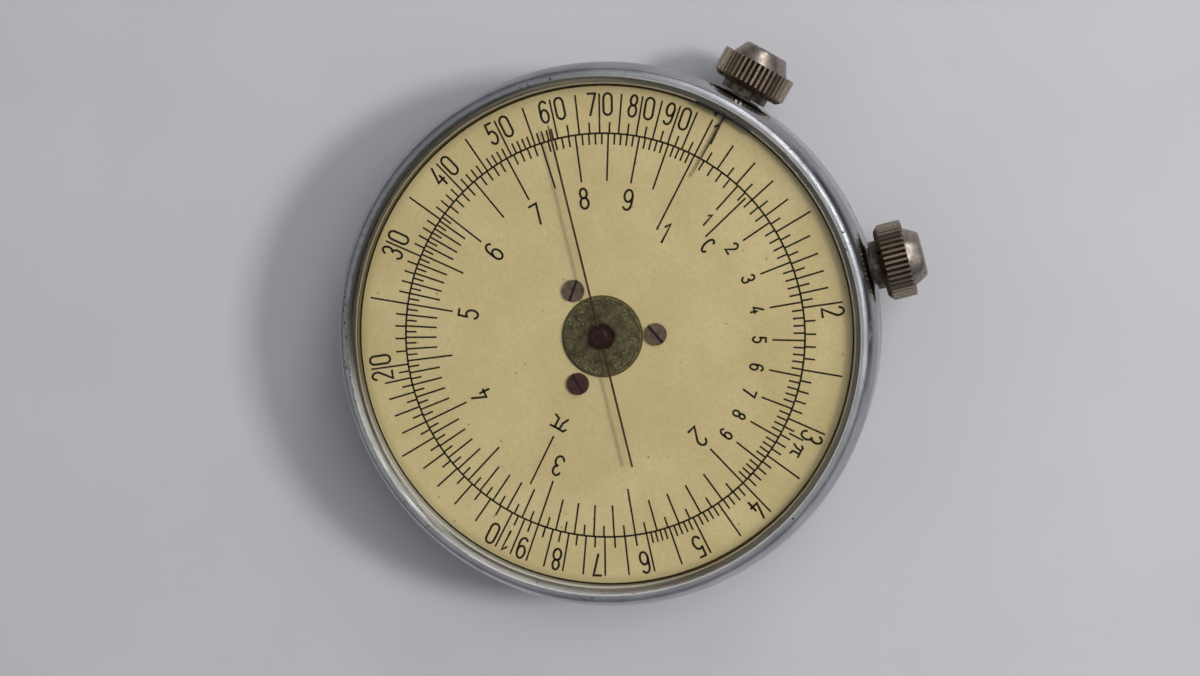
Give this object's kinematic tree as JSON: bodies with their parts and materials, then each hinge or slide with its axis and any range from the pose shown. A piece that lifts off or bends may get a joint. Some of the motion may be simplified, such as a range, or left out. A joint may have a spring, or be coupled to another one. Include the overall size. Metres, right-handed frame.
{
  "type": "circular slide rule",
  "caption": "Pocket circular slide rule in a round watch-style case: turning front dial, fixed rear dial, paired wire hands and knurled setting knobs geared to them.",
  "frame": {"origin": "centre of the rear crystal's flat face, on which the case lies", "axes": "+Z along the dial axis, out of the front dial; +Y midway between the two knobs; +X to the side of the hands' knob"},
  "size_m": [0.0518, 0.055, 0.0152],
  "materials": {
    "chromed_brass": "worn chrome plate with fine pits",
    "crystal": "clear, lightly scratched",
    "nickel": "satin nickel plate",
    "knob_nickel": "knurled nickel plate, brown in the grooves",
    "dial_enamel": "matt cream enamel, yellowed",
    "brass": "turned brass",
    "aged_brass": "brass with green patina",
    "steel": "dull oxidised steel",
    "pointer_lacquer": "dark brown lacquer",
    "hand_lacquer": "dark red-brown lacquer",
    "hub_lacquer": "dark red lacquer"
  },
  "bodies": {
    "case": {"case_band": "chromed_brass", "front_bezel": "chromed_brass", "rear_bezel": "chromed_brass", "front_crystal": "crystal", "rear_crystal": "crystal", "front_crystal_ring": "nickel", "rear_crystal_ring": "nickel", "index_pointer": "pointer_lacquer", "rear_dial": "dial_enamel", "main_plate": "brass", "plate_screws": "steel", "centre_post": "brass", "dial_retainer": "aged_brass", "dial_spring": "brass", "hands_spring": "brass", "dial_knob_bush": "brass", "hands_knob_bush": "brass"},
    "dial": {"front_dial": "dial_enamel", "dial_hub": "brass", "dial_wheel": "brass", "dial_screws": "steel"},
    "hands": {"hands_arbor": "steel", "hands_collet": "brass", "hands_wheel": "brass", "front_hand": "hand_lacquer", "front_hand_hub": "hub_lacquer", "rear_hand": "hand_lacquer", "rear_hand_hub": "hub_lacquer"},
    "dial_knob_set": {"dial_knob": "knob_nickel", "dial_knob_cap": "nickel", "dial_stem": "steel", "dial_pinion": "brass", "dial_stem_collar": "brass"},
    "hands_knob_set": {"hands_knob": "knob_nickel", "hands_knob_cap": "nickel", "hands_stem": "steel", "hands_pinion": "brass", "hands_stem_collar": "brass"}
  },
  "joints": [
    {"name": "dial_turn", "type": "hinge", "parent": "case", "child": "dial", "pos_m": [0, 0, 0.0076], "axis": [0, 0, 1], "continuous": true},
    {"name": "hands_turn", "type": "hinge", "parent": "case", "child": "hands", "pos_m": [0, 0, 0.0076], "axis": [0, 0, 1], "continuous": true},
    {"name": "dial_knob_turn", "type": "hinge", "parent": "case", "child": "dial_knob_set", "pos_m": [0, 0, 0.0076], "axis": [-0.3907, 0.9205, 0], "continuous": true},
    {"name": "hands_knob_turn", "type": "hinge", "parent": "case", "child": "hands_knob_set", "pos_m": [0, 0, 0.0076], "axis": [0.3907, 0.9205, 0], "continuous": true}
  ],
  "couplings": [
    {"joint": "dial_knob_turn", "follows": "dial_turn", "ratio": -10},
    {"joint": "hands_knob_turn", "follows": "hands_turn", "ratio": 7}
  ]
}
